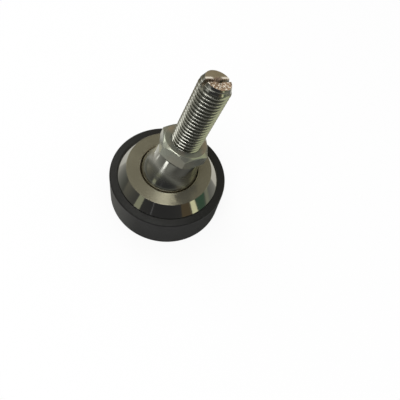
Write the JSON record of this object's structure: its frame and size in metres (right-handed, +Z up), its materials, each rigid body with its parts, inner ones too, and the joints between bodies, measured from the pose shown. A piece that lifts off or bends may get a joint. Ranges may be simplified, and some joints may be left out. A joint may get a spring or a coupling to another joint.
{
  "type": "scale leveling foot",
  "caption": "Swivel leveling foot: a threaded stud with lock nut, its ball end held in a steel pad that sits in a round rubber boot.",
  "frame": {"origin": "middle of the rubber boot's underside, on the surface it stands on", "axes": "+Z up along the pad's axis, +X the way the stud leans at rest"},
  "size_m": [0.066, 0.066, 0.0895],
  "materials": {
    "rubber": "matte moulded black rubber",
    "pad_steel": "turned and bright plated",
    "seat_steel": "turned steel",
    "stud_steel": "turned, threaded and bright plated",
    "nut_steel": "zinc plated"
  },
  "bodies": {
    "pad": {"rubber_boot": "rubber", "steel_pad": "pad_steel"},
    "seat": {"ball_seat": "seat_steel"},
    "stud": {"ball_stud": "stud_steel"},
    "nut": {"lock_nut": "nut_steel"}
  },
  "joints": [
    {"name": "stud_swivel", "type": "hinge", "parent": "pad", "child": "seat", "pos_m": [0, 0, 0.02176], "axis": [0, 0, 1], "continuous": true},
    {"name": "stud_tilt", "type": "hinge", "parent": "seat", "child": "stud", "pos_m": [0, 0, 0.02176], "axis": [0, -1, 0], "range_deg": [0, 30]},
    {"name": "nut_travel", "type": "slide", "parent": "stud", "child": "nut", "axis": [0.2588, 0, 0.9659], "range_m": [0, 0.0399]}
  ]
}
